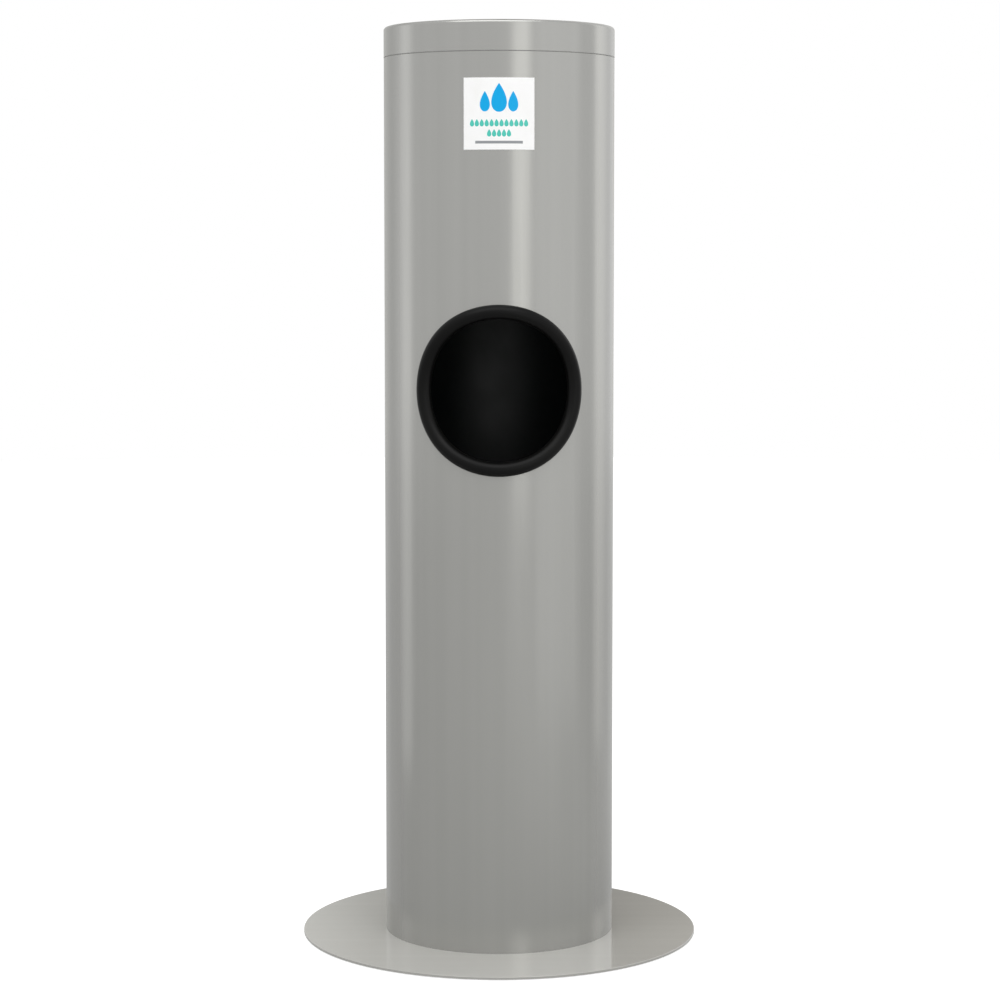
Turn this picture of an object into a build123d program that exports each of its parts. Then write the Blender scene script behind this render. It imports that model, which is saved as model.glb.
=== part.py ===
from build123d import *
import math
import os

os.makedirs("parts", exist_ok=True)

# All sizes are in millimetres. The floor is Z = 0, the tube's axis is Z and the front faces -Y.
# Angles are in degrees round the tube's axis, counted from +X towards +Y, so the back is at 90.

# Base plate and the pad under it
plate_diameter = 394.0
plate_thickness = 2.5
plate_edge_radius = 0.5
pad_thickness = 1.0
pad_edge_margin = 6.0
pad_width = 45.0

# Tube
tube_diameter = 228.0
tube_wall = 1.2
floor_disc_thickness = 2.5

# Screws that join the plate and the tube's floor
base_screw_count = 4
base_screw_circle = 130.0
base_screw_angle = 45.0
base_screw_radius = 2.5
base_screw_head_radius = 4.7
base_screw_head_height = 2.2
base_socket_across = 3.0
base_socket_depth = 1.5
base_nut_across = 8.0
base_nut_height = 4.0
base_washer_radius = 5.0
base_washer_thickness = 1.0
thread_end = 2.0

# Front opening, measured in the flat sheet before it is rolled
opening_drop = 120.5
opening_half_width = 79.0
opening_half_height = 75.5
trim_radius = 7.0
opening_points = 32
trim_steps = 12

# Label on the front
label_width = 68.0
label_height = 68.0
label_thickness = 0.3
label_drop = 59.0

# Rear door
door_angle = 120.0
door_bottom = 16.0
door_head_margin = 1.5
door_gap = 1.2
door_flange = 8.0
door_flange_setback = 8.0
stop_strip_width = 18.0
stop_strip_underlap = 6.0
stop_strip_end_gap = 14.0

# Hinges
hinge_length = 66.0
hinge_end_margin = 90.0
hinge_leaf_width = 20.0
hinge_leaf_thickness = 1.5
knuckle_radius = 3.5
knuckle_gap = 0.4
hinge_pin_radius = 1.5
hinge_pin_head_radius = 3.0
hinge_pin_head_height = 1.5
rivet_radius = 1.6
rivet_head_radius = 3.2
rivet_head_height = 1.4
rivet_tail_radius = 2.6
rivet_tail_height = 1.2
rivet_end_margin = 12.0
rivet_row = 12.4

# Cam lock
lock_height = 332.0
lock_setback = 23.0
lock_thread_radius = 9.5
lock_face_radius = 12.0
lock_face_height = 2.5
lock_nut_across = 24.0
lock_nut_height = 3.5
lock_plug_radius = 6.0
lock_square = 7.0
keyway_width = 1.4
keyway_length = 7.5
keyway_depth = 9.0
cam_length = 33.0
cam_width = 12.0
cam_thickness = 2.0
cam_screw_radius = 2.0
cam_screw_length = 8.0
cam_screw_head_radius = 4.5
cam_screw_head_height = 2.4
driver_slot_width = 1.0
driver_slot_depth = 1.2

# Trash bin
bin_side_gap = 16.2
bin_flare = 3.0
bin_headroom = 20.7
bin_wall = 2.4
bin_foot_height = 13.0
bin_foot_width = 7.0
bin_rim_width = 2.6
bin_rim_height = 8.0
bin_window_margin = 5.0
locating_ring_height = 8.0
locating_ring_width = 9.0
locating_ring_thickness = 1.5

# Shelf and wipes bucket
shelf_height = 668.0
shelf_thickness = 1.5
shelf_flange = 13.0
bucket_side_gap = 5.8
bucket_flare = 4.0
bucket_height = 188.0
bucket_headroom = 13.7
bucket_wall = 2.2
bucket_rim_width = 3.0
bucket_rim_height = 3.5
finger_slot_width = 70.0
finger_slot_height = 22.0
finger_slot_drop = 24.0

# Lid
gasket_thickness = 0.6
lid_height = 29.1
lid_corner_radius = 5.0
spigot_depth = 18.0
spigot_weld_height = 12.0
spigot_lead_in = 1.5

# Nozzle in the lid
nozzle_hole_radius = 32.0
nozzle_flange_radius = 42.0
nozzle_flange_height = 2.4
nozzle_mouth_radius = 28.0
nozzle_throat_radius = 19.0
nozzle_depth = 12.0
nozzle_nut_radius = 40.0
nozzle_nut_height = 3.5
nozzle_nut_notches = 8
notch_width = 7.0
notch_depth = 2.5
diaphragm_radius = 26.0
diaphragm_thickness = 1.6
diaphragm_hole_radius = 7.0
slit_count = 6
slit_width = 0.8
slit_reach = 16.5
retainer_thickness = 2.6
nozzle_screw_count = 3
nozzle_screw_angle = 90.0
nozzle_screw_radius = 1.25
nozzle_screw_head_radius = 2.6
nozzle_screw_head_height = 1.8
nozzle_screw_length = 8.0

# How far a cutter reaches past what it cuts
cut_past = 10.0

# Clearances between pieces
rest_gap = 0.3
running_gap = 0.05
spigot_gap = 0.5
bin_gap = 1.5
gasket_edge_margin = 0.3

# Levels and radii that follow from the sizes above
plate_bottom = pad_thickness
plate_top = plate_bottom + plate_thickness
tube_radius = tube_diameter / 2
tube_inside = tube_radius - tube_wall
tube_middle = tube_radius - tube_wall / 2
floor_top = plate_top + floor_disc_thickness
shelf_top = plate_top + shelf_height
shelf_underside = shelf_top - shelf_thickness - shelf_flange
bucket_top = shelf_top + rest_gap + bucket_height
tube_top = bucket_top + bucket_headroom
opening_level = shelf_top - opening_drop
bin_top = shelf_underside - bin_headroom
bin_top_radius = tube_inside - bin_side_gap - bin_rim_width
bin_bottom_radius = bin_top_radius - bin_flare
bucket_top_radius = tube_inside - bucket_side_gap - bucket_rim_width
bucket_bottom_radius = bucket_top_radius - bucket_flare
lid_bottom = tube_top + rest_gap + gasket_thickness
lid_top = lid_bottom + lid_height
latch_edge = 90.0 + door_angle / 2
hinge_edge = 90.0 - door_angle / 2
gap_angle = math.degrees(door_gap / tube_radius)
door_low = plate_top + door_bottom
door_high = shelf_underside - door_head_margin
base_stack = plate_thickness + floor_disc_thickness + base_washer_thickness + base_nut_height


def disc(radius, bottom, top):
    """Upright cylinder between two levels."""
    return Pos(0, 0, (bottom + top) / 2) * Cylinder(radius, top - bottom)


def ring(inner, outer, bottom, top):
    """Upright tube between two levels."""
    return disc(outer, bottom, top) - disc(inner, bottom - cut_past, top + cut_past)


def turned(*points):
    """Solid turned round the Z axis from (radius, level) corners."""
    outline = Polyline(*[(radius, 0, level) for radius, level in points], close=True)
    return revolve(make_face(outline), Axis.Z)


def sector(inner, outer, start, end, bottom, top):
    """Part of an upright tube between two angles."""
    outer_arc = CenterArc((0, 0), outer, start, end - start)
    inner_arc = CenterArc((0, 0), inner, start, end - start)
    first_side = Line(outer_arc @ 0, inner_arc @ 0)
    last_side = Line(outer_arc @ 1, inner_arc @ 1)
    outline = make_face([outer_arc, last_side, inner_arc, first_side])
    return Pos(0, 0, bottom) * extrude(outline, top - bottom)


def hexagon(across, bottom, top):
    """Upright hexagonal prism, sized across its flats."""
    outline = RegularPolygon(across / 2, 6, major_radius=False)
    return Pos(0, 0, bottom) * extrude(outline, top - bottom)


def arc_angle(length):
    """Angle that a length takes on the tube's outer face."""
    return math.degrees(length / tube_radius)


def outward(angle, level):
    """Frame at an angle and level, whose Z runs out from the tube's axis and whose X runs down."""
    return Rot(0, 0, angle) * Pos(0, 0, level) * Rot(0, 90, 0)


def circle_places(count, radius, first_angle=0.0):
    """Evenly spaced places on a circle round the Z axis."""
    places = []
    for index in range(count):
        places.append(Rot(0, 0, first_angle + 360.0 * index / count) * Pos(radius, 0, 0))
    return places


def rolled_point(turn):
    """Point of an ellipse that was marked on the flat sheet and rolled with it to the front."""
    round_tube = opening_half_width * math.cos(math.radians(turn)) / tube_middle
    across = tube_middle * math.sin(round_tube)
    forward = -tube_middle * math.cos(round_tube)
    return Vector(across, forward, opening_level + opening_half_height * math.sin(math.radians(turn)))


def base_screw_places():
    """Places of the screws that join the plate and the tube's floor."""
    return circle_places(base_screw_count, base_screw_circle / 2, base_screw_angle)


def base_plate():
    """Round plate with countersunk holes for the screws from below."""
    plate = disc(plate_diameter / 2, plate_bottom, plate_top)
    plate = fillet(plate.edges().group_by(Axis.Z)[-1], plate_edge_radius)
    for place in base_screw_places():
        plate = plate - place * base_screw_blank()
    return plate


def floor_pad():
    """Flat rubber ring under the plate."""
    outer = plate_diameter / 2 - pad_edge_margin
    return ring(outer - pad_width, outer, 0, pad_thickness)


def base_screw_blank():
    """Outer shape of a countersunk screw, head down and flush with the plate."""
    cone_top = plate_bottom + base_screw_head_height
    end = plate_bottom + base_stack + thread_end
    return turned(
        (0, plate_bottom),
        (base_screw_head_radius, plate_bottom),
        (base_screw_radius, cone_top),
        (base_screw_radius, end),
        (0, end),
    )


def base_screws():
    """Countersunk screws with a hexagonal socket."""
    socket = hexagon(base_socket_across, plate_bottom - cut_past, plate_bottom + base_socket_depth)
    screw = base_screw_blank() - socket
    return [place * screw for place in base_screw_places()]


def tube_floor():
    """Disc welded into the foot of the tube."""
    plate = disc(tube_inside, plate_top, floor_top)
    for place in base_screw_places():
        plate = plate - place * disc(base_screw_radius, plate_bottom, floor_top + cut_past)
    return plate


def base_washers():
    """Washers between the tube's floor and the nuts."""
    washer = ring(base_screw_radius, base_washer_radius, floor_top, floor_top + base_washer_thickness)
    return [place * washer for place in base_screw_places()]


def base_nuts():
    """Hexagonal nuts on the screws inside the tube."""
    bottom = floor_top + base_washer_thickness
    top = bottom + base_nut_height
    hole = disc(base_screw_radius, plate_bottom, top + cut_past)
    nut = hexagon(base_nut_across, bottom, top) - hole
    return [place * nut for place in base_screw_places()]


def opening_cutter():
    """Prism that cuts the front opening through the tube's wall."""
    outline = []
    for index in range(opening_points):
        point = rolled_point(360.0 * index / opening_points)
        outline.append((point.X, -tube_diameter, point.Z))
    return extrude(make_face(Spline(*outline, periodic=True)), tube_diameter, dir=(0, 1, 0))


def rivet_places(side_angle):
    """Frames of the rivets of both hinges on one side of the hinge line."""
    places = []
    for level in hinge_levels():
        for offset in (rivet_end_margin, hinge_length - rivet_end_margin):
            places.append(outward(side_angle, level + offset))
    return places


def rivet_angle(side):
    """Angle of a row of rivets: side is -1 on the tube and 1 on the door."""
    return hinge_line_angle() + side * arc_angle(rivet_row)


def rivet_holes(side):
    """Cutters for the rivets' shanks."""
    hole = disc(rivet_radius, tube_inside - cut_past, tube_radius + cut_past)
    return [place * hole for place in rivet_places(rivet_angle(side))]


def tube_shell():
    """Rolled tube with the front opening, the rear doorway and the rivet holes."""
    shell = ring(tube_inside, tube_radius, plate_top, tube_top)
    shell = shell - opening_cutter()
    inner = tube_inside - cut_past
    outer = tube_radius + cut_past
    shell = shell - sector(inner, outer, hinge_edge, latch_edge, door_low, door_high)
    for hole in rivet_holes(-1):
        shell = shell - hole
    return shell


def trim_section(turn):
    """Round section of the bead, square to the edge of the opening."""
    small_turn = 0.01
    point = rolled_point(turn)
    behind = rolled_point(turn - small_turn)
    ahead = rolled_point(turn + small_turn)
    radial = Vector(point.X, point.Y, 0).normalized()
    return Plane(origin=point, x_dir=radial, z_dir=ahead - behind) * Circle(trim_radius)


def opening_trim(shell):
    """Rubber bead pushed over the edge of the front opening, lofted in two halves."""
    step = 180.0 / trim_steps
    first = loft([trim_section(index * step) for index in range(trim_steps + 1)])
    second = loft([trim_section(180.0 + index * step) for index in range(trim_steps + 1)])
    return first + second - shell


def front_label():
    """Thin label that lies on the curve of the tube."""
    half_angle = arc_angle(label_width) / 2
    bottom = tube_top - label_drop - label_height / 2
    outer = tube_radius + label_thickness
    return sector(tube_radius, outer, 270 - half_angle, 270 + half_angle, bottom, bottom + label_height)


def door_stop_strip():
    """Strip welded inside the tube, behind the free edge of the door."""
    start = latch_edge - arc_angle(stop_strip_underlap)
    end = start + arc_angle(stop_strip_width)
    bottom = door_low + stop_strip_end_gap
    top = door_high - stop_strip_end_gap
    return sector(tube_inside - tube_wall, tube_inside, start, end, bottom, top)


def rear_door():
    """Curved door panel with a turned-in flange at its top and bottom."""
    start = hinge_edge + gap_angle
    end = latch_edge - gap_angle
    bottom = door_low + door_gap
    top = door_high - door_gap
    door = sector(tube_inside, tube_radius, start, end, bottom, top)
    flange_start = start + arc_angle(door_flange_setback)
    flange_end = end - arc_angle(door_flange_setback)
    flange_inside = tube_inside - door_flange
    door = door + sector(flange_inside, tube_inside, flange_start, flange_end, bottom, bottom + tube_wall)
    door = door + sector(flange_inside, tube_inside, flange_start, flange_end, top - tube_wall, top)
    for hole in rivet_holes(1):
        door = door - hole
    lock_hole = disc(lock_thread_radius, tube_inside - cut_past, tube_radius + cut_past)
    return door - lock_frame() * lock_hole


def hinge_line_angle():
    """Angle of the hinges' axis, over the middle of the gap."""
    return hinge_edge + gap_angle / 2


def hinge_line_radius():
    """Distance of the hinges' axis from the tube's axis."""
    return tube_radius + rest_gap + knuckle_radius


def hinge_levels():
    """Levels of the lower ends of the two hinges."""
    return [door_low + hinge_end_margin, door_high - hinge_end_margin - hinge_length]


def on_hinge_line(shape):
    """Upright shape moved from the origin to the hinges' axis."""
    return Rot(0, 0, hinge_line_angle()) * Pos(hinge_line_radius(), 0, 0) * shape


def knuckle_spans(bottom, side):
    """Levels of the knuckles of one leaf: two outer ones on the tube, the middle one on the door."""
    third = hinge_length / 3
    if side < 0:
        return [(bottom, bottom + third), (bottom + 2 * third, bottom + hinge_length)]
    return [(bottom + third + knuckle_gap, bottom + 2 * third - knuckle_gap)]


def hinge_leaf(bottom, side):
    """Curved leaf with its knuckles: side is -1 for the tube's leaf and 1 for the door's."""
    outer = tube_radius + hinge_leaf_thickness
    line = hinge_line_angle()
    clear = arc_angle(knuckle_radius + knuckle_gap)
    near = line + side * clear
    far = line + side * arc_angle(hinge_leaf_width)
    leaf = sector(tube_radius, outer, min(near, far), max(near, far), bottom, bottom + hinge_length)
    for low, high in knuckle_spans(bottom, side):
        leaf = leaf + sector(tube_radius, outer, min(line, near), max(line, near), low, high)
        leaf = leaf + on_hinge_line(disc(knuckle_radius, low, high))
    bore = hinge_pin_radius if side < 0 else hinge_pin_radius + running_gap
    leaf = leaf - on_hinge_line(disc(bore, bottom - cut_past, bottom + hinge_length + cut_past))
    for hole in rivet_holes(side):
        leaf = leaf - hole
    return leaf


def hinge_pin(bottom):
    """Pin held in the tube's knuckles, with a head on top."""
    top = bottom + hinge_length
    pin = disc(hinge_pin_radius, bottom - hinge_pin_head_height, top)
    pin = pin + disc(hinge_pin_head_radius, top, top + hinge_pin_head_height)
    return on_hinge_line(pin)


def hinge_rivets(side):
    """Rivets of both hinges on one side, with a dome outside and a flat tail inside."""
    outer = tube_radius + hinge_leaf_thickness
    dome_radius = (rivet_head_radius**2 + rivet_head_height**2) / (2 * rivet_head_height)
    dome = Pos(0, 0, outer + rivet_head_height - dome_radius) * Sphere(dome_radius)
    dome = dome & disc(2 * rivet_head_radius, outer, outer + rivet_head_height)
    tail_top = math.sqrt(tube_inside**2 - rivet_tail_radius**2)
    rivet = disc(rivet_radius, tail_top - rivet_tail_height, outer) + dome
    rivet = rivet + disc(rivet_tail_radius, tail_top - rivet_tail_height, tail_top)
    return [place * rivet for place in rivet_places(rivet_angle(side))]


def lock_frame():
    """Frame of the lock: Z runs out along its axis, counted from the tube's axis, and X runs down."""
    return outward(latch_edge - arc_angle(lock_setback), plate_top + lock_height)


def cam_face():
    """Distance from the tube's axis to the outer face of the cam, which passes behind the stop strip."""
    return math.sqrt((tube_inside - tube_wall) ** 2 - cam_length**2) - 2 * rest_gap


def lock_nut_face():
    """Distance from the tube's axis to the face of the nut that bears on the door."""
    return math.sqrt(tube_inside**2 - (lock_nut_across / 2) ** 2)


def lock_barrel():
    """Threaded barrel with a round face that fits the curve of the door."""
    face_top = tube_radius + lock_face_height
    end = cam_face() + rest_gap
    barrel = lock_frame() * disc(lock_thread_radius, end, face_top)
    face = lock_frame() * disc(lock_face_radius, tube_inside, face_top)
    face = face - disc(tube_radius, 0, tube_top)
    bore = disc(lock_plug_radius + running_gap, end - cut_past, face_top + cut_past)
    return barrel + face - lock_frame() * bore


def lock_nut():
    """Nut on the barrel, inside the door."""
    top = lock_nut_face()
    nut = hexagon(lock_nut_across, top - lock_nut_height, top)
    nut = nut - disc(lock_thread_radius, top - lock_nut_height - cut_past, top + cut_past)
    return lock_frame() * nut


def lock_plug():
    """Turning plug with a keyway outside and a square end that carries the cam."""
    face_top = tube_radius + lock_face_height
    shoulder = cam_face()
    plug = disc(lock_plug_radius, shoulder, face_top)
    square = Box(lock_square, lock_square, cam_thickness)
    plug = plug + Pos(0, 0, shoulder - cam_thickness / 2) * square
    keyway = Box(keyway_length, keyway_width, 2 * keyway_depth)
    plug = plug - Pos(0, 0, face_top) * keyway
    screw_bottom = shoulder - cam_thickness
    plug = plug - disc(cam_screw_radius, screw_bottom - cut_past, screw_bottom + cam_screw_length)
    return lock_frame() * plug


def lock_cam():
    """Flat blade that hangs down when unlocked and reaches behind the stop strip when locked."""
    top = cam_face()
    length = cam_length + cam_width / 2
    blade = Pos((cam_length - cam_width / 2) / 2, 0, 0) * SlotOverall(length, cam_width)
    blade = Pos(0, 0, top - cam_thickness) * extrude(blade, cam_thickness)
    square = Box(lock_square, lock_square, 2 * cam_thickness)
    return lock_frame() * (blade - Pos(0, 0, top - cam_thickness / 2) * square)


def lock_cam_screw():
    """Screw that holds the cam on the plug."""
    under_head = cam_face() - cam_thickness
    end = under_head + cam_screw_length
    low = under_head - cam_screw_head_height
    screw = disc(cam_screw_radius, under_head, end) + disc(cam_screw_head_radius, low, under_head)
    slot = Box(3 * cam_screw_head_radius, driver_slot_width, 2 * driver_slot_depth)
    return lock_frame() * (screw - Pos(0, 0, low) * slot)


def bin_locating_ring():
    """Low angle ring on the tube's floor that keeps the bin central."""
    inner = bin_bottom_radius + bin_gap
    upright = ring(inner, inner + locating_ring_thickness, floor_top, floor_top + locating_ring_height)
    foot = ring(inner, inner + locating_ring_width, floor_top, floor_top + locating_ring_thickness)
    return upright + foot


def slot_along_y(width, height, length):
    """Slot with round ends, centred on the origin, that runs along Y."""
    return extrude(Plane.XZ * SlotOverall(width, height), length / 2, both=True)


def trash_bin():
    """Tall tapered bin with a raised bottom and a round window behind the opening."""
    bottom = floor_top + rest_gap
    top = bin_top
    low = bin_bottom_radius
    high = bin_top_radius
    inner_floor = bottom + bin_foot_height + bin_wall
    body = turned(
        (0, bottom + bin_foot_height),
        (low - bin_foot_width, bottom + bin_foot_height),
        (low - bin_foot_width, bottom),
        (low, bottom),
        (high, top),
        (high - bin_wall, top),
        (low - bin_wall, inner_floor),
        (0, inner_floor),
    )
    body = body + ring(high - bin_wall, high + bin_rim_width, top - bin_rim_height, top)
    window_radius = opening_half_height - trim_radius + bin_window_margin
    window = Rot(90, 0, 0) * Cylinder(window_radius, high + cut_past)
    return body - Pos(0, -(high + cut_past) / 2 - cut_past, opening_level) * window


def bucket_shelf():
    """Round shelf with a turned-down flange, welded in the tube."""
    plate = disc(tube_inside, shelf_top - shelf_thickness, shelf_top)
    flange = ring(tube_inside - shelf_thickness, tube_inside, shelf_underside, shelf_top)
    return plate + flange


def wipes_bucket():
    """Tapered bucket with a rim and a finger slot on each side."""
    bottom = shelf_top + rest_gap
    top = bucket_top
    low = bucket_bottom_radius
    high = bucket_top_radius
    body = turned(
        (0, bottom),
        (low, bottom),
        (high, top),
        (high - bucket_wall, top),
        (low - bucket_wall, bottom + bucket_wall),
        (0, bottom + bucket_wall),
    )
    body = body + ring(high - bucket_wall, high + bucket_rim_width, top - bucket_rim_height, top)
    slot = Rot(0, 0, 90) * slot_along_y(finger_slot_width, finger_slot_height, 3 * high)
    return body - Pos(0, 0, top - finger_slot_drop) * slot


def lid_shell():
    """Pressed lid with a rounded upper corner and a hole for the nozzle."""
    outside = disc(tube_radius, lid_bottom, lid_top)
    outside = fillet(outside.edges().group_by(Axis.Z)[-1], lid_corner_radius)
    inside = disc(tube_inside, lid_bottom - cut_past, lid_top - tube_wall)
    inside = fillet(inside.edges().group_by(Axis.Z)[-1], lid_corner_radius - tube_wall)
    hole = disc(nozzle_hole_radius, lid_bottom, lid_top + cut_past)
    return outside - inside - hole


def lid_spigot():
    """Stepped ring welded inside the lid, which drops into the tube."""
    slide = tube_inside - spigot_gap
    weld_top = lid_bottom + spigot_weld_height
    step = lid_bottom + spigot_gap
    bottom = tube_top - spigot_depth
    return turned(
        (tube_inside, weld_top),
        (tube_inside, step),
        (slide, step - spigot_gap),
        (slide, bottom + spigot_lead_in),
        (slide - tube_wall, bottom),
        (slide - tube_wall, weld_top),
    )


def lid_gasket():
    """Flat seal under the edge of the lid."""
    slide = tube_inside - spigot_gap
    return ring(slide, tube_radius - gasket_edge_margin, tube_top + rest_gap, lid_bottom)


def nozzle_screw_places():
    """Places of the screws that clamp the diaphragm."""
    circle = (diaphragm_radius + nozzle_throat_radius) / 2
    return circle_places(nozzle_screw_count, circle, nozzle_screw_angle)


def nozzle_body():
    """Flanged funnel that drops into the hole in the lid."""
    flange_top = lid_top + nozzle_flange_height
    bottom = lid_top - nozzle_depth
    body = turned(
        (nozzle_mouth_radius, flange_top),
        (nozzle_flange_radius - nozzle_flange_height, flange_top),
        (nozzle_flange_radius, lid_top),
        (nozzle_hole_radius, lid_top),
        (nozzle_hole_radius, bottom),
        (nozzle_throat_radius, bottom),
        (nozzle_throat_radius, bottom + nozzle_flange_height),
    )
    pilot = disc(nozzle_screw_radius, bottom - cut_past, nozzle_screw_end())
    for place in nozzle_screw_places():
        body = body - place * pilot
    return body


def nozzle_screw_end():
    """Level of the upper ends of the nozzle's screws."""
    return lid_top - nozzle_depth - diaphragm_thickness - retainer_thickness + nozzle_screw_length


def nozzle_nut():
    """Notched ring nut that clamps the funnel to the lid from below."""
    top = lid_top - tube_wall
    nut = ring(nozzle_hole_radius, nozzle_nut_radius, top - nozzle_nut_height, top)
    notch = Box(2 * notch_depth, notch_width, 3 * nozzle_nut_height)
    for place in circle_places(nozzle_nut_notches, nozzle_nut_radius):
        nut = nut - place * Pos(0, 0, top) * notch
    return nut


def nozzle_diaphragm():
    """Rubber disc with a centre hole and slits that hold back the next wipe."""
    top = lid_top - nozzle_depth
    bottom = top - diaphragm_thickness
    rubber = ring(diaphragm_hole_radius, diaphragm_radius, bottom, top)
    slit = Pos(slit_reach / 2, 0, 0) * Box(slit_reach, slit_width, 2 * diaphragm_thickness)
    for place in circle_places(slit_count, 0):
        rubber = rubber - place * Pos(0, 0, (bottom + top) / 2) * slit
    for place in nozzle_screw_places():
        rubber = rubber - place * disc(nozzle_screw_radius, bottom - cut_past, top + cut_past)
    return rubber


def nozzle_retainer():
    """Flat ring that clamps the diaphragm."""
    top = lid_top - nozzle_depth - diaphragm_thickness
    bottom = top - retainer_thickness
    clamp = ring(nozzle_throat_radius, diaphragm_radius, bottom, top)
    for place in nozzle_screw_places():
        clamp = clamp - place * disc(nozzle_screw_radius, bottom - cut_past, top + cut_past)
    return clamp


def nozzle_screws():
    """Small screws that hold the retainer from below."""
    under_head = lid_top - nozzle_depth - diaphragm_thickness - retainer_thickness
    low = under_head - nozzle_screw_head_height
    screw = disc(nozzle_screw_radius, under_head, nozzle_screw_end())
    screw = screw + disc(nozzle_screw_head_radius, low, under_head)
    slot = Box(3 * nozzle_screw_head_radius, driver_slot_width, driver_slot_depth)
    screw = screw - Pos(0, 0, low) * slot
    return [place * screw for place in nozzle_screw_places()]


def save(name, shape):
    """Write one node: a list is a group of separate solids."""
    if isinstance(shape, list):
        shape = Compound(children=shape)
    export_step(shape, f"parts/{name}.step")


def build_all():
    """Make every piece and write it."""
    shell = tube_shell()
    save("tube_shell", shell)
    save("opening_trim", opening_trim(shell))
    save("front_label", front_label())
    save("base_plate", base_plate())
    save("floor_pad", floor_pad())
    save("base_screws", base_screws())
    save("base_washers", base_washers())
    save("base_nuts", base_nuts())
    save("tube_floor", tube_floor())
    save("bin_locating_ring", bin_locating_ring())
    save("bucket_shelf", bucket_shelf())
    save("door_stop_strip", door_stop_strip())
    for name, level in zip(("lower", "upper"), hinge_levels()):
        save(f"{name}_hinge_tube_leaf", hinge_leaf(level, -1))
        save(f"{name}_hinge_door_leaf", hinge_leaf(level, 1))
        save(f"{name}_hinge_pin", hinge_pin(level))
    save("hinge_tube_rivets", hinge_rivets(-1))
    save("hinge_door_rivets", hinge_rivets(1))
    save("rear_door", rear_door())
    save("lock_barrel", lock_barrel())
    save("lock_nut", lock_nut())
    save("lock_plug", lock_plug())
    save("lock_cam", lock_cam())
    save("lock_cam_screw", lock_cam_screw())
    save("trash_bin", trash_bin())
    save("wipes_bucket", wipes_bucket())
    save("lid_shell", lid_shell())
    save("lid_spigot", lid_spigot())
    save("lid_gasket", lid_gasket())
    save("nozzle_body", nozzle_body())
    save("nozzle_nut", nozzle_nut())
    save("nozzle_diaphragm", nozzle_diaphragm())
    save("nozzle_retainer", nozzle_retainer())
    save("nozzle_screws", nozzle_screws())


build_all()
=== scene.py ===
import math

import bmesh
import bpy
import numpy as np
from mathutils import Matrix, Vector


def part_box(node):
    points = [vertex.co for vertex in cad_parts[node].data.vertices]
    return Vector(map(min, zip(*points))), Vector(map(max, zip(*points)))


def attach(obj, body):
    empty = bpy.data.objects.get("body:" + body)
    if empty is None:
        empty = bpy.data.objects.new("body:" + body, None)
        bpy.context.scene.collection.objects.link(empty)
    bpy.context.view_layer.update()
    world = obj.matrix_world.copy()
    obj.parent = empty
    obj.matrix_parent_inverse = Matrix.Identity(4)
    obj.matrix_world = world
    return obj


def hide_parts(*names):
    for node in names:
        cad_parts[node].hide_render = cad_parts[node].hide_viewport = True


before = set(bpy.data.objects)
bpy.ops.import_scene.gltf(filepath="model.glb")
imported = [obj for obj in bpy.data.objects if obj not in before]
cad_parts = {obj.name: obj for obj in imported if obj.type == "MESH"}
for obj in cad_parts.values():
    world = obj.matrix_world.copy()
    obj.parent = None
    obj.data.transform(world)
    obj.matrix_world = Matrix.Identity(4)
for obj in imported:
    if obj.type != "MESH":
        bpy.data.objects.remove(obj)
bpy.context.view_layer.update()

# Lengths are in metres and angles in degrees. Azimuths are counted from the front, -Y, towards +X.

# Camera, with its lens in millimetres and its shift as a share of the picture
camera_distance = 2.6989
camera_height = 0.6939
camera_offset = 0.0009
camera_tilt = 4.411
camera_lens = 97.513
camera_shift = -0.05
camera_nearest = 0.1
camera_farthest = 50.0

# Sizes read from the frame
tube_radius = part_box("tube_shell")[1].x
label_low, label_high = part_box("front_label")
label_level = (label_low.z + label_high.z) / 2

# Lid, plate and rubber bead, which are made again here with smooth curves
sheet = 0.0012
lid_corner_radius = 0.003
lid_hole_radius = 0.032
plate_edge_radius = 0.0005
plate_burr_radius = 0.0003
hub_radius = 0.080
screw_count = 4
screw_circle_radius = 0.065
screw_first_angle = 45.0
screw_radius = 0.0025
screw_head_radius = 0.0047
screw_head_height = 0.0022
bead_radius = 0.007

# Fineness of those meshes. A ring of points stands a short hold away from each curve, so that the
# shading of the curve doesn't run into the flat beside it.
round_sides = 288
arc_steps = 8
bead_steps = 6 * arc_steps
hold = 0.00015
weld_distance = 0.000001
crease_angle = 32.0

# Values between which smooth noise is stretched
noise_reach = (0.3, 0.7)
line_reach = (0.25, 0.75)
smudge_reach = (0.45, 0.75)
patch_reach = (0.35, 0.65)

# Brushed sheet: how far its lines are squeezed along each axis on level faces, the upward share of the
# normal from which a face counts as level, the drifts per line and their two tones, and how much the
# lines and the smudges change the roughness and the relief
level_squeeze = (0.01, 1.0, 1.0)
level_from = 0.7
drift_scale = 0.08
drift_tones = (0.978, 1.019)
smudges_per_metre = 7.0
line_roughness = 0.04
smudge_roughness = 0.035
line_depth = 0.00001
line_strength = 0.5

# Moulded rubber and plastic: the clouds of its sheen per grain, how much they change its roughness, and
# its marks of handling
cloud_scale = 0.03
sheen_swing = 0.05
handling_per_metre = 14.0

# Print on the label, measured from the label's middle. A large drop is given as its middle across, its
# middle up, its width and its height, and a row of small drops as its middle up and their number.
print_softness = 0.0002
drop_fullness = 1.3
large_drops = (
    (0.0, 0.0153, 0.0150, 0.0275),
    (-0.0135, 0.0117, 0.0098, 0.0195),
    (0.0135, 0.0117, 0.0098, 0.0195),
)
drop_rows = ((-0.0086, 12), (-0.0182, 5))
row_drop_pitch = 0.0047
row_drop_width = 0.92 * row_drop_pitch
row_drop_height = 0.0072
rule_level = -0.0270
rule_half_length = 0.0228
rule_half_height = 0.0014

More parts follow.
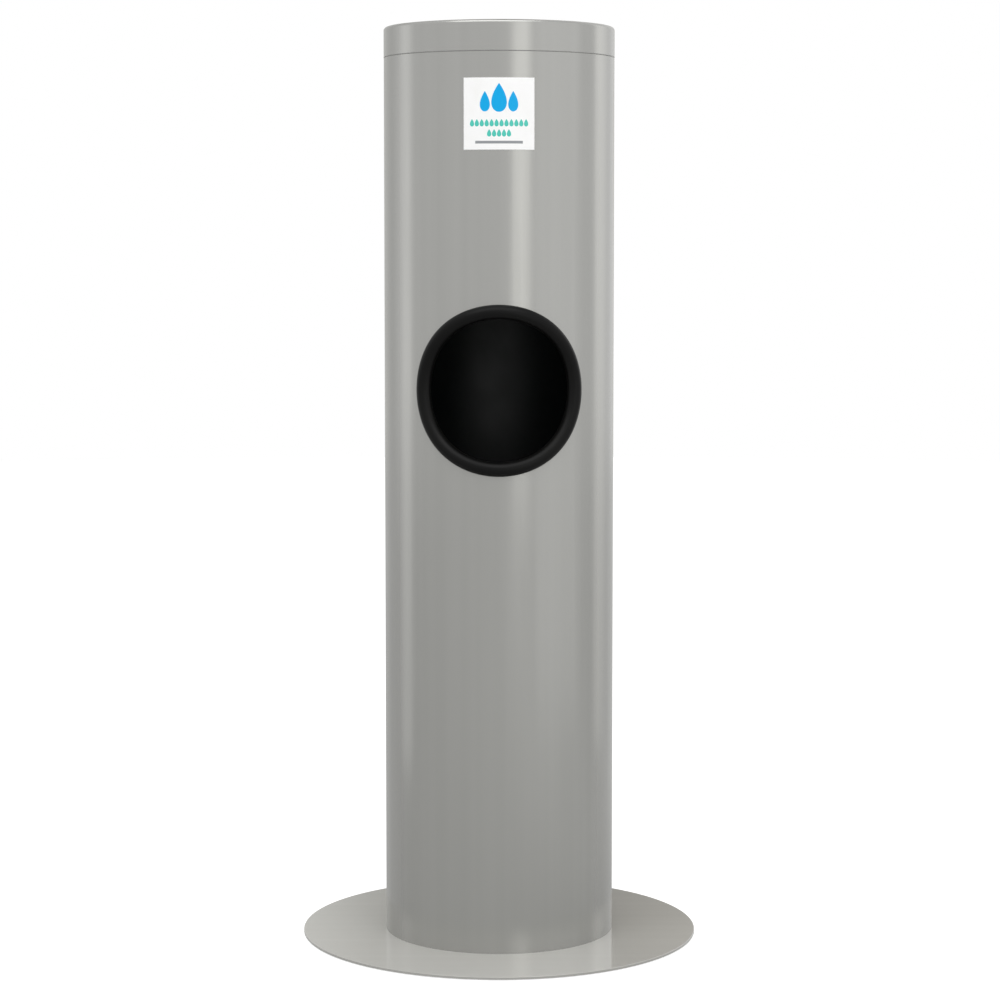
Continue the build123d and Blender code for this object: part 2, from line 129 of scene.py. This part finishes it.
# Floor: its size, its glow where it is seen, and its glow in a gloss, which grows away from the axis and
# towards the right
floor_radius = 6.0
floor_sides = 96
seen_glow = 0.72
gloss_reach = (0.3, 4.0)
gloss_glow = (0.08, 0.26)
right_reach = (0.1, 0.5)
right_glow = 0.09

# Sky: its plain light, and what a gloss sees round the horizon behind the object. Each card there is the
# degrees from straight behind towards +X and a tone from 0 to 255.
sky_light = 0.65
horizon_reach = 60.0
gloss_cards = (
    (-58.0, (255, 255, 255)),
    (-50.0, (226, 226, 225)),
    (-6.0, (220, 220, 217)),
    (-4.2, (206, 206, 202)),
    (-2.5, (146, 146, 142)),
    (2.5, (80, 74, 65)),
    (4.2, (120, 112, 100)),
    (16.0, (250, 248, 245)),
    (20.0, (255, 255, 255)),
)
white = (1.0, 1.0, 1.0, 1.0)


def colour(red, green, blue):
    """Linear colour from the 0 to 255 values of a screen."""
    linear = []
    for value in (red, green, blue):
        share = value / 255.0
        linear.append(share / 12.92 if share <= 0.04045 else ((share + 0.055) / 1.055) ** 2.4)
    return (*linear, 1.0)


def fill(tree, socket, value):
    """Give an input a value or another node's output."""
    if isinstance(value, bpy.types.NodeSocket):
        tree.links.new(value, socket)
    else:
        socket.default_value = value


def add(tree, kind, inputs=None, **settings):
    """New node with its settings and inputs."""
    made = tree.nodes.new(kind)
    for name, value in settings.items():
        setattr(made, name, value)
    for key, value in (inputs or {}).items():
        fill(tree, made.inputs[key], value)
    return made


def maths(tree, operation, first, second=0.0, clamp=False):
    """Output of one Math node."""
    made = add(tree, "ShaderNodeMath", {0: first, 1: second}, operation=operation, use_clamp=clamp)
    return made.outputs[0]


def ranged(tree, value, low, high, to_low, to_high):
    """Value carried from one range to another, held at its ends."""
    inputs = {"Value": value, "From Min": low, "From Max": high, "To Min": to_low, "To Max": to_high}
    return add(tree, "ShaderNodeMapRange", inputs).outputs["Result"]


def mixed(tree, share, first, second):
    """Colour between two colours."""
    return add(tree, "ShaderNodeMix", {0: share, 6: first, 7: second}, data_type="RGBA").outputs[2]


def new_group(name, inputs, outputs):
    """Empty shader node group with named sockets, with what it is given and what it puts out."""
    group = bpy.data.node_groups.new(name, "ShaderNodeTree")
    for title, kind, value in inputs:
        socket = group.interface.new_socket(title, in_out="INPUT", socket_type=kind)
        if value is not None:
            socket.default_value = value
    for title in outputs:
        group.interface.new_socket(title, in_out="OUTPUT", socket_type="NodeSocketFloat")
    return group, group.nodes.new("NodeGroupInput").outputs, group.nodes.new("NodeGroupOutput").inputs


def placed(tree, group, inputs):
    """Place a node group in a tree, fill its inputs and return its outputs."""
    made = tree.nodes.new("ShaderNodeGroup")
    made.node_tree = group
    for key, value in inputs.items():
        fill(tree, made.inputs[key], value)
    return made.outputs


def brushed_group():
    """Long fine lines left by an abrasive belt: noise that is squeezed along one direction.

    Upright faces are brushed along the axis whose Squeeze is least, and level faces across the front.
    """
    group, given, put = new_group(
        "brushed lines",
        [
            ("Vector", "NodeSocketVector", None),
            ("Squeeze", "NodeSocketVector", (1.0, 1.0, 0.01)),
            ("Lines per Metre", "NodeSocketFloat", 900.0),
        ],
        ["Lines", "Drift", "Level"],
    )
    facing = group.nodes.new("ShaderNodeNewGeometry").outputs["True Normal"]
    upward = maths(group, "ABSOLUTE", add(group, "ShaderNodeSeparateXYZ", {0: facing}).outputs[2])
    level = maths(group, "GREATER_THAN", upward, level_from)
    choices = {0: level, 4: given["Squeeze"], 5: level_squeeze}
    squeeze = add(group, "ShaderNodeMix", choices, data_type="VECTOR").outputs[1]
    squeezed = add(group, "ShaderNodeVectorMath", {0: given["Vector"], 1: squeeze}, operation="MULTIPLY")
    place = squeezed.outputs[0]
    scale = given["Lines per Metre"]
    fine = add(group, "ShaderNodeTexNoise", {"Vector": place, "Scale": scale, "Detail": 4.0})
    broad_scale = maths(group, "MULTIPLY", scale, drift_scale)
    broad = add(group, "ShaderNodeTexNoise", {"Vector": place, "Scale": broad_scale, "Detail": 2.0})
    group.links.new(fine.outputs[0], put["Lines"])
    group.links.new(broad.outputs[0], put["Drift"])
    group.links.new(level, put["Level"])
    return group


def smudge_group():
    """Soft marks of handling and wiping: cloudy noise with its lower part cut away."""
    group, given, put = new_group(
        "smudges",
        [("Vector", "NodeSocketVector", None), ("Per Metre", "NodeSocketFloat", 9.0)],
        ["Mask"],
    )
    inputs = {"Vector": given["Vector"], "Scale": given["Per Metre"], "Detail": 5.0, "Distortion": 0.4}
    cloud = add(group, "ShaderNodeTexNoise", inputs).outputs[0]
    group.links.new(ranged(group, cloud, *smudge_reach, 0.0, 1.0), put["Mask"])
    return group


def moulded_group():
    """Even fine texture of a mould or of rubber: small cells, and a soft cloud for the sheen."""
    group, given, put = new_group(
        "moulded texture",
        [("Vector", "NodeSocketVector", None), ("Grains per Metre", "NodeSocketFloat", 1200.0)],
        ["Height", "Cloud"],
    )
    place, scale = given["Vector"], given["Grains per Metre"]
    cells = add(group, "ShaderNodeTexVoronoi", {"Vector": place, "Scale": scale}, feature="SMOOTH_F1")
    broad_scale = maths(group, "MULTIPLY", scale, cloud_scale)
    cloud = add(group, "ShaderNodeTexNoise", {"Vector": place, "Scale": broad_scale, "Detail": 4.0})
    group.links.new(cells.outputs["Distance"], put["Height"])
    group.links.new(cloud.outputs[0], put["Cloud"])
    return group


def drop_group():
    """Print mask of a water drop, with t from 0 at its tip down to 1.

    Its half width is width * drop_fullness * t * sqrt(1 - t).
    """
    group, given, put = new_group(
        "drop shape",
        [
            ("Across", "NodeSocketFloat", 0.0),
            ("Up", "NodeSocketFloat", 0.0),
            ("Width", "NodeSocketFloat", 0.01),
            ("Height", "NodeSocketFloat", 0.015),
        ],
        ["Mask"],
    )
    share_up = maths(group, "DIVIDE", given["Up"], given["Height"])
    t = maths(group, "SUBTRACT", 0.5, share_up, clamp=True)
    rest = maths(group, "SUBTRACT", 1.0, t, clamp=True)
    profile = maths(group, "MULTIPLY", t, maths(group, "SQRT", rest))
    fullness = maths(group, "MULTIPLY", profile, drop_fullness)
    half_width = maths(group, "MULTIPLY", fullness, given["Width"])
    inside = maths(group, "SUBTRACT", half_width, maths(group, "ABSOLUTE", given["Across"]))
    group.links.new(ranged(group, inside, 0.0, print_softness, 0.0, 1.0), put["Mask"])
    return group


brushed = brushed_group()
smudges = smudge_group()
moulded = moulded_group()
drop_shape = drop_group()


def new_finish(name, sockets):
    """New material with plain values set on its shader, and its tree, shader and coordinates."""
    material = bpy.data.materials.new(name)
    material.use_nodes = True
    tree = material.node_tree
    shader = tree.nodes["Principled BSDF"]
    for socket, value in sockets.items():
        shader.inputs[socket].default_value = value
    place = tree.nodes.new("ShaderNodeTexCoord").outputs["Object"]
    return material, tree, shader, place


def raise_surface(tree, shader, height, depth, strength=1.0):
    """Feed a height from 0 to 1 to the shader's normal, as so many metres of relief."""
    bump = add(tree, "ShaderNodeBump", {"Height": height, "Distance": depth, "Strength": strength})
    tree.links.new(bump.outputs[0], shader.inputs["Normal"])


def sheet_steel(name, base, roughness, squeeze, lines, metallic=1.0, upright_painted_shade=1.0, coat=None):
    """Brushed stainless sheet, with lines in its roughness and relief and slow drift in its tone.

    Smudges make it a little rougher. The tone of upright faces is multiplied by the upright factor, which
    paints shade on them where it is below 1, as on the plate's upright cut edge.
    """
    material, tree, shader, place = new_finish(name, {"Metallic": metallic, **(coat or {})})
    grain = placed(tree, brushed, {"Vector": place, "Squeeze": squeeze, "Lines per Metre": lines})
    marks = placed(tree, smudges, {"Vector": place, "Per Metre": smudges_per_metre})["Mask"]
    darker, lighter = ((*(share * value for value in base[:3]), 1.0) for share in drift_tones)
    tone = mixed(tree, ranged(tree, grain["Drift"], *noise_reach, 0.0, 1.0), darker, lighter)
    scale = ranged(tree, grain["Level"], 0.0, 1.0, upright_painted_shade, 1.0)
    shade = add(tree, "ShaderNodeVectorMath", {0: tone, "Scale": scale}, operation="SCALE")
    tree.links.new(shade.outputs[0], shader.inputs["Base Color"])
    smoothest, roughest = roughness - line_roughness, roughness + line_roughness
    rough = ranged(tree, grain["Lines"], *line_reach, smoothest, roughest)
    rough = maths(tree, "ADD", rough, maths(tree, "MULTIPLY", marks, smudge_roughness))
    tree.links.new(rough, shader.inputs["Roughness"])
    raise_surface(tree, shader, grain["Lines"], line_depth, line_strength)
    return material


def satin_steel():
    """Skin of the tube, door and lid, brushed along the tube."""
    return sheet_steel(
        "satin steel", colour(163, 163, 160), roughness=0.21, squeeze=(1.0, 1.0, 0.008), lines=900.0,
        metallic=0.7,
    )


def plate_steel():
    """Base plate: smoother sheet with a clear mirror over its satin tone."""
    # Its upright cut edge is darkened to 0.72 of its tone: painted shade.
    return sheet_steel(
        "plate steel", colour(195, 194, 189), roughness=0.38, squeeze=level_squeeze, lines=700.0,
        metallic=0.12, upright_painted_shade=0.72, coat={"Coat Weight": 0.8, "Coat Roughness": 0.03, "Coat IOR": 1.6},
    )


def plain_steel():
    """Inner sheet parts, with a duller mill finish."""
    return sheet_steel(
        "plain steel", colour(136, 136, 134), roughness=0.38, squeeze=(1.0, 1.0, 0.02), lines=500.0
    )


def hinge_steel():
    """Hinge leaves and pins, with short lines up the leaves."""
    return sheet_steel(
        "hinge steel", colour(158, 158, 154), roughness=0.27, squeeze=(1.0, 1.0, 0.03), lines=1400.0
    )


def zinc_steel():
    """Bright zinc plate: patches of cool and slightly yellow tone."""
    material, tree, shader, place = new_finish("zinc plate", {"Metallic": 1.0})
    cloud = add(tree, "ShaderNodeTexNoise", {"Vector": place, "Scale": 160.0, "Detail": 3.0}).outputs[0]
    cool, yellow = colour(158, 164, 172), colour(186, 184, 168)
    tone = mixed(tree, ranged(tree, cloud, *patch_reach, 0.0, 1.0), cool, yellow)
    tree.links.new(tone, shader.inputs["Base Color"])
    tree.links.new(ranged(tree, cloud, *noise_reach, 0.24, 0.38), shader.inputs["Roughness"])
    grain = placed(tree, moulded, {"Vector": place, "Grains per Metre": 2500.0})
    raise_surface(tree, shader, grain["Height"], 0.00002)
    return material


def handled_metal(name, marks_per_metre, tones, roughness):
    """Plain metal that goes from its first tone and roughness to its second where it has been handled."""
    material, tree, shader, place = new_finish(name, {"Metallic": 1.0})
    marks = placed(tree, smudges, {"Vector": place, "Per Metre": marks_per_metre})["Mask"]
    tree.links.new(mixed(tree, marks, *tones), shader.inputs["Base Color"])
    tree.links.new(ranged(tree, marks, 0.0, 1.0, *roughness), shader.inputs["Roughness"])
    return material


def rivet_aluminium():
    """Rivet heads: soft bright metal, scuffed by the setting tool."""
    tones = (colour(196, 196, 198), colour(168, 168, 170))
    return handled_metal("rivet aluminium", marks_per_metre=420.0, tones=tones, roughness=(0.26, 0.42))


def lock_chrome():
    """Chromed barrel and plug, with fine wiping marks."""
    tones = (colour(214, 215, 218), colour(200, 201, 203))
    return handled_metal("lock chrome", marks_per_metre=180.0, tones=tones, roughness=(0.07, 0.16))


def moulded_stuff(name, tones, roughness, grains, depth, gloss=0.2):
    """Rubber or plastic: fine moulded relief, a sheen that wanders, and a tone with marks of handling."""
    material, tree, shader, place = new_finish(name, {"Metallic": 0.0, "Specular IOR Level": gloss})
    grain = placed(tree, moulded, {"Vector": place, "Grains per Metre": grains})
    marks = placed(tree, smudges, {"Vector": place, "Per Metre": handling_per_metre})["Mask"]
    tree.links.new(mixed(tree, marks, *tones), shader.inputs["Base Color"])
    rough = ranged(tree, grain["Cloud"], *noise_reach, roughness - sheen_swing, roughness + sheen_swing)
    tree.links.new(rough, shader.inputs["Roughness"])
    raise_surface(tree, shader, grain["Height"], depth)
    return material


def black_rubber():
    """Trim, pad and diaphragm."""
    tones = (colour(12, 12, 12), colour(16, 16, 15))
    return moulded_stuff("black rubber", tones, roughness=0.36, grains=1500.0, depth=0.00001, gloss=0.11)


def black_plastic():
    """Bin and bucket."""
    tones = (colour(11, 16, 16), colour(16, 21, 21))
    return moulded_stuff("black plastic", tones, roughness=0.46, grains=900.0, depth=0.00004, gloss=0.35)


def nozzle_plastic():
    """Nozzle, its nut and the clamp ring, with a finer and glossier mould."""
    tones = (colour(20, 20, 21), colour(25, 25, 26))
    return moulded_stuff("nozzle plastic", tones, roughness=0.3, grains=2200.0, depth=0.00001)


def grey_silicone():
    """Thin seal under the lid."""
    tones = (colour(168, 168, 166), colour(176, 176, 173))
    return moulded_stuff("grey silicone", tones, roughness=0.5, grains=1800.0, depth=0.00001)


def union(tree, *masks):
    """Mask that covers all of the masks."""
    joined = masks[0]
    for mask in masks[1:]:
        joined = maths(tree, "MAXIMUM", joined, mask)
    return joined


def drop_at(tree, across, up, middle_across, middle_up, width, height):
    """One printed drop on the label."""
    inputs = {
        "Across": maths(tree, "SUBTRACT", across, middle_across),
        "Up": maths(tree, "SUBTRACT", up, middle_up),
        "Width": width,
        "Height": height,
    }
    return placed(tree, drop_shape, inputs)["Mask"]


def bar(tree, across, up, middle_up, half_length, half_height):
    """One printed bar with square ends, centred on the label's width."""
    side = maths(tree, "SUBTRACT", half_length, maths(tree, "ABSOLUTE", across))
    away = maths(tree, "ABSOLUTE", maths(tree, "SUBTRACT", up, middle_up))
    edge = maths(tree, "MINIMUM", side, maths(tree, "SUBTRACT", half_height, away))
    return ranged(tree, edge, 0.0, print_softness, 0.0, 1.0)


def drop_row(tree, across, up, middle_up, count):
    """Row of small upright drops, centred on the label's width."""
    half_length = count * row_drop_pitch / 2
    shifted = maths(tree, "ADD", across, half_length)
    inside_one = maths(tree, "FLOORED_MODULO", shifted, row_drop_pitch)
    drops = drop_at(tree, inside_one, up, row_drop_pitch / 2, middle_up, row_drop_width, row_drop_height)
    return maths(tree, "MULTIPLY", drops, bar(tree, across, up, middle_up, half_length, row_drop_height))


def label_vinyl():
    """White label with a generic print: large blue drops, two rows of green ones and a thin grey rule."""
    sockets = {"Metallic": 0.0, "Specular IOR Level": 0.25}
    material, tree, shader, place = new_finish("label vinyl", sockets)
    axes = add(tree, "ShaderNodeSeparateXYZ", {0: place}).outputs
    turn = maths(tree, "ARCTAN2", axes[0], maths(tree, "MULTIPLY", axes[1], -1.0))
    across = maths(tree, "MULTIPLY", turn, tube_radius)
    up = maths(tree, "SUBTRACT", axes[2], label_level)
    blue = union(tree, *(drop_at(tree, across, up, *drop) for drop in large_drops))
    green = union(tree, *(drop_row(tree, across, up, *row) for row in drop_rows))
    rule = bar(tree, across, up, rule_level, rule_half_length, rule_half_height)
    clouds = placed(tree, smudges, {"Vector": place, "Per Metre": 60.0})["Mask"]
    tone = mixed(tree, clouds, colour(253, 253, 253), colour(250, 250, 249))
    for printed, ink in ((blue, (0, 170, 234)), (green, (84, 202, 186)), (rule, (150, 153, 156))):
        tone = mixed(tree, printed, tone, colour(*ink))
    tree.links.new(tone, shader.inputs["Base Color"])
    rough = ranged(tree, union(tree, blue, green, rule), 0.0, 1.0, 0.36, 0.28)
    rough = maths(tree, "ADD", rough, maths(tree, "MULTIPLY", clouds, 0.05))
    tree.links.new(rough, shader.inputs["Roughness"])
    grain = placed(tree, moulded, {"Vector": place, "Grains per Metre": 3000.0})
    raise_surface(tree, shader, grain["Height"], 0.000005)
    return material


def arc(centre, radius, start, end):
    """Points of an arc in the radius and level plane: centre + radius * (cos, sin) of even angles."""
    angles = np.radians(np.linspace(start, end, arc_steps + 1))
    return np.array(centre) + radius * np.stack([np.cos(angles), np.sin(angles)], axis=1)


def turned(profile):
    """Sheet of points (r cos a, r sin a, z): a profile of (r, z) points turned round the Z axis."""
    angles = np.arange(round_sides) * 2 * np.pi / round_sides
    radius, level = np.asarray(profile).T
    across = radius[:, None] * np.cos(angles)
    along = radius[:, None] * np.sin(angles)
    return np.stack([across, along, np.repeat(level[:, None], round_sides, axis=1)], axis=-1)


def sheet_faces(rows, columns, first, closed):
    """Corner numbers of the four-sided faces of a sheet.

    The sheet is closed along its rows, and along its columns if asked.
    """
    index = first + np.arange(rows * columns).reshape(rows, columns)
    index = np.hstack([index, index[:, :1]])
    if closed:
        index = np.vstack([index, index[:1]])
    corners = [index[:-1, :-1], index[:-1, 1:], index[1:, 1:], index[1:, :-1]]
    return np.stack(corners, axis=-1).reshape(-1, 4)


def make_piece(name, sheets, material, node, body, closed=True):
    """One closed mesh from sheets of points, smooth but for its creases, in place of a CAD node."""
    points, faces, first = [], [], 0
    for grid in sheets:
        rows, columns = grid.shape[:2]
        points.append(grid.reshape(-1, 3))
        faces.append(sheet_faces(rows, columns, first, closed))
        first += rows * columns
    mesh = bpy.data.meshes.new(name)
    mesh.from_pydata(np.concatenate(points).tolist(), [], np.concatenate(faces).tolist())
    work = bmesh.new()
    work.from_mesh(mesh)
    bmesh.ops.remove_doubles(work, verts=work.verts, dist=weld_distance)
    work.to_mesh(mesh)
    work.free()
    mesh.shade_smooth()
    mesh.set_sharp_from_angle(angle=math.radians(crease_angle))
    mesh.materials.append(material)
    piece = bpy.data.objects.new(name, mesh)
    bpy.context.scene.collection.objects.link(piece)
    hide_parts(node)
    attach(piece, body)


def lid_skin(material):
    """Pressed lid: a thin wall turned round the axis, with a round upper corner outside and inside it."""
    low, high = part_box("lid_shell")
    outer = high.x
    middle = (outer - lid_corner_radius, high.z - lid_corner_radius)
    profile = np.vstack([
        [(outer, low.z), (outer, middle[1] - hold)],
        arc(middle, lid_corner_radius, 0.0, 90.0),
        [(middle[0] - hold, high.z), (lid_hole_radius, high.z), (lid_hole_radius, high.z - sheet)],
        [(middle[0] - hold, high.z - sheet)],
        arc(middle, lid_corner_radius - sheet, 90.0, 0.0),
        [(outer - sheet, middle[1] - hold), (outer - sheet, low.z)],
    ])
    make_piece("lid_skin", [turned(profile)], material, "lid_shell", "lid")


def screw_sleeve(first_angle, low, high):
    """Hub of the plate round one screw hole: a sheet from the sector's edge to the hole and back.

    The sector's edge is followed as one loop, and each of its points is paired with the point of the hole
    that lies in the same direction from the hole's centre. The rows step in over the top, down the hole
    and its countersink, and out again below.
    """
    quarter = round_sides // screw_count
    span = 2 * np.pi / screw_count
    start = math.radians(first_angle) - span / 2
    spokes = np.linspace(0.0, hub_radius, arc_steps + 1)[:-1]
    rim = start + span * np.arange(quarter + 1) / quarter
    radius = np.concatenate([spokes, np.full(quarter + 1, hub_radius), spokes[:0:-1]])
    angle = np.concatenate([np.full(arc_steps, start), rim, np.full(arc_steps - 1, start + span)])
    edge = np.stack([radius * np.cos(angle), radius * np.sin(angle)], axis=1)
    centre = screw_circle_radius * np.array([math.cos(start + span / 2), math.sin(start + span / 2)])
    towards = edge - centre
    towards /= np.linalg.norm(towards, axis=1)[:, None]
    rows = [
        (edge, high),
        (centre + screw_radius * towards, high),
        (centre + screw_radius * towards, low + screw_head_height),
        (centre + screw_head_radius * towards, low),
        (edge, low),
    ]
    return np.stack([np.column_stack([flat, np.full(len(flat), level)]) for flat, level in rows])


def plate_skin(material):
    """Round base plate: a ring turned round the axis and a hub with holes countersunk from below."""
    low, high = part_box("base_plate")
    radius = high.x
    upper = (radius - plate_edge_radius, high.z - plate_edge_radius)
    lower = (radius - plate_burr_radius, low.z + plate_burr_radius)
    profile = np.vstack([
        [(hub_radius, low.z), (lower[0] - hold, low.z)],
        arc(lower, plate_burr_radius, -90.0, 0.0),
        arc(upper, plate_edge_radius, 0.0, 90.0),
        [(upper[0] - hold, high.z), (hub_radius, high.z)],
    ])
    sheets = [turned(profile)]
    for index in range(screw_count):
        sheets.append(screw_sleeve(screw_first_angle + 360.0 * index / screw_count, low.z, high.z))
    make_piece("plate_skin", sheets, material, "base_plate", "stand", closed=False)


def trim_skin(material):
    """Rubber bead round the opening: a round section, slotted for the sheet's edge, on a rolled ellipse.

    The path is an ellipse on the flat sheet, (w cos a, h sin a), rolled onto the tube's middle radius, m:
    (m sin(w cos a / m), -m cos(w cos a / m), level + h sin a). The section stands on the tube's outward
    direction and on the direction square to that and to the path.
    """
    low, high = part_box("opening_trim")
    middle = tube_radius - sheet / 2
    level = (low.z + high.z) / 2
    half_height = (high.z - low.z) / 2 - bead_radius
    half_width = middle * math.asin((high.x - bead_radius) / middle)
    turn = np.arange(round_sides) * 2 * np.pi / round_sides
    rolled = half_width * np.cos(turn) / middle
    path = [middle * np.sin(rolled), -middle * np.cos(rolled), level + half_height * np.sin(turn)]
    path = np.stack(path, axis=1)
    outward = np.stack([np.sin(rolled), -np.cos(rolled), np.zeros(round_sides)], axis=1)
    along = np.roll(path, -1, axis=0) - np.roll(path, 1, axis=0)
    away = np.cross(along, outward)
    away /= np.linalg.norm(away, axis=1)[:, None]
    slot_angle = math.asin(sheet / 2 / bead_radius)
    section_turn = np.linspace(slot_angle, 2 * np.pi - slot_angle, bead_steps)
    reach = np.concatenate([bead_radius * np.cos(section_turn), [0.0, 0.0]])
    lift = np.concatenate([bead_radius * np.sin(section_turn), [-sheet / 2, sheet / 2]])
    grid = path[None] + reach[:, None, None] * away[None] + lift[:, None, None] * outward[None]
    make_piece("trim_skin", [grid], material, "opening_trim", "stand")


def dress_frame():
    """Give every CAD node the finish that its record slot names."""
    finishes = {
        "satin_steel": satin_steel(),
        "plate_steel": plate_steel(),
        "plain_steel": plain_steel(),
        "hinge_steel": hinge_steel(),
        "zinc_steel": zinc_steel(),
        "rivet_aluminium": rivet_aluminium(),
        "lock_chrome": lock_chrome(),
        "black_rubber": black_rubber(),
        "grey_silicone": grey_silicone(),
        "black_plastic": black_plastic(),
        "nozzle_plastic": nozzle_plastic(),
        "label_vinyl": label_vinyl(),
    }
    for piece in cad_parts.values():
        for held in piece.material_slots:
            held.material = finishes[held.material.name.split(".")[0]]
    lid_skin(finishes["satin_steel"])
    plate_skin(finishes["plate_steel"])
    trim_skin(finishes["black_rubber"])


def seen_lift(tree, direct, mirrored):
    """One strength for camera and transmission rays, another for glossy rays, and 0 for plain light."""
    path = tree.nodes.new("ShaderNodeLightPath").outputs
    seen = maths(tree, "MAXIMUM", path["Is Camera Ray"], path["Is Transmission Ray"])
    in_gloss = maths(tree, "MULTIPLY", path["Is Glossy Ray"], mirrored)
    return maths(tree, "MAXIMUM", maths(tree, "MULTIPLY", seen, direct), in_gloss)


def floor_finish():
    """Pale matt floor that is lifted to white where it is seen and keeps its shadow."""
    sockets = {"Roughness": 0.9, "Specular IOR Level": 0.0}
    material, tree, shader, place = new_finish("studio floor", sockets)
    cloud = add(tree, "ShaderNodeTexNoise", {"Vector": place, "Scale": 3.0, "Detail": 3.0}).outputs[0]
    tone = mixed(tree, cloud, colour(199, 199, 198), colour(203, 203, 202))
    tree.links.new(tone, shader.inputs["Base Color"])
    glow = add(tree, "ShaderNodeEmission", {"Color": white})
    distance = add(tree, "ShaderNodeVectorMath", {0: place}, operation="LENGTH").outputs["Value"]
    across = add(tree, "ShaderNodeSeparateXYZ", {0: place}).outputs[0]
    on_right = ranged(tree, across, *right_reach, 0.0, right_glow)
    mirrored = maths(tree, "ADD", ranged(tree, distance, *gloss_reach, *gloss_glow), on_right)
    tree.links.new(seen_lift(tree, seen_glow, mirrored), glow.inputs["Strength"])
    both = add(tree, "ShaderNodeAddShader", {0: shader.outputs[0], 1: glow.outputs[0]})
    tree.links.new(both.outputs[0], tree.nodes["Material Output"].inputs["Surface"])
    return material


def studio_floor():
    """Large round floor just at the level that the object stands on."""
    corners = []
    for index in range(floor_sides):
        turn = 2 * math.pi * index / floor_sides
        corners.append((floor_radius * math.cos(turn), floor_radius * math.sin(turn), 0.0))
    mesh = bpy.data.meshes.new("studio_floor")
    mesh.from_pydata(corners, [], [tuple(range(floor_sides))])
    floor = bpy.data.objects.new("studio_floor", mesh)
    bpy.context.scene.collection.objects.link(floor)
    mesh.materials.append(floor_finish())


def studio_world():
    """White all round where it is seen, plain soft light, and grey cards behind for what a gloss sees."""
    world = bpy.data.worlds.new("studio")
    world.use_nodes = True
    tree = world.node_tree
    strength = maths(tree, "MAXIMUM", seen_lift(tree, 1.0, 1.0), sky_light)
    way = tree.nodes.new("ShaderNodeTexCoord").outputs["Generated"]
    axes = add(tree, "ShaderNodeSeparateXYZ", {0: way}).outputs
    turn = maths(tree, "DEGREES", maths(tree, "ARCTAN2", axes[0], axes[1]))
    share = ranged(tree, turn, -horizon_reach, horizon_reach, 0.0, 1.0)
    cards = add(tree, "ShaderNodeValToRGB", {0: share})
    cards.color_ramp.elements[0].color = white
    for azimuth, tone in gloss_cards:
        place = (azimuth + horizon_reach) / (2 * horizon_reach)
        cards.color_ramp.elements.new(place).color = colour(*tone)
    gloss = tree.nodes.new("ShaderNodeLightPath").outputs["Is Glossy Ray"]
    sky = tree.nodes["Background"]
    tree.links.new(mixed(tree, gloss, white, cards.outputs[0]), sky.inputs["Color"])
    tree.links.new(strength, sky.inputs["Strength"])
    bpy.context.scene.world = world


def softbox(name, azimuth, distance, height, width, tall, watts, tint=white[:3], aim=None, spread=180.0):
    """Rectangular lamp that faces the tube's axis, at its own height or at the height it is aimed at.

    A spread below 180 degrees is a grid in front of it.
    """
    lamp = bpy.data.lights.new(name, "AREA")
    lamp.shape = "RECTANGLE"
    lamp.size = width
    lamp.size_y = tall
    lamp.energy = watts
    lamp.color = tint
    lamp.spread = math.radians(spread)
    turn = math.radians(azimuth)
    place = Vector((distance * math.sin(turn), -distance * math.cos(turn), height))
    way = Vector((0.0, 0.0, height if aim is None else aim)) - place
    holder = bpy.data.objects.new(name, lamp)
    holder.matrix_world = Matrix.Translation(place) @ way.to_track_quat("-Z", "Y").to_matrix().to_4x4()
    holder.visible_camera = False
    bpy.context.scene.collection.objects.link(holder)


def studio_lamps():
    """A gridded strip just behind each side, a strip and a fill on the front right, and a high key."""
    softbox(
        "left_strip", azimuth=-101.8, distance=0.9, height=0.77, width=0.29, tall=1.5, watts=0.045,
        spread=44.0,
    )
    softbox(
        "front_strip", azimuth=21.6, distance=2.6, height=0.98, width=0.78, tall=1.44, watts=3.0,
        tint=(1.0, 0.995, 0.96),
    )
    softbox(
        "right_strip", azimuth=116.0, distance=0.9, height=0.80, width=0.36, tall=1.56, watts=0.101,
        tint=(1.0, 0.995, 0.97), aim=0.68, spread=52.0,
    )
    softbox("right_fill", azimuth=60.0, distance=1.3, height=0.80, width=1.15, tall=1.56, watts=1.35)
    softbox("key", azimuth=-8.0, distance=2.0, height=3.6, width=4.4, tall=3.0, watts=80.0, aim=0.45)


def photo_camera():
    """Camera at the photograph's place, a little above the middle of the object and tilted down."""
    lens = bpy.data.cameras.new("photo_camera")
    lens.lens = camera_lens
    lens.shift_y = camera_shift
    lens.clip_start = camera_nearest
    lens.clip_end = camera_farthest
    camera = bpy.data.objects.new("photo_camera", lens)
    camera.location = (camera_offset, -camera_distance, camera_height)
    camera.rotation_euler = (math.radians(90.0 - camera_tilt), 0.0, 0.0)
    bpy.context.scene.collection.objects.link(camera)
    bpy.context.scene.camera = camera


dress_frame()
studio_floor()
studio_world()
studio_lamps()
photo_camera()
bpy.context.scene.view_settings.view_transform = "Standard"
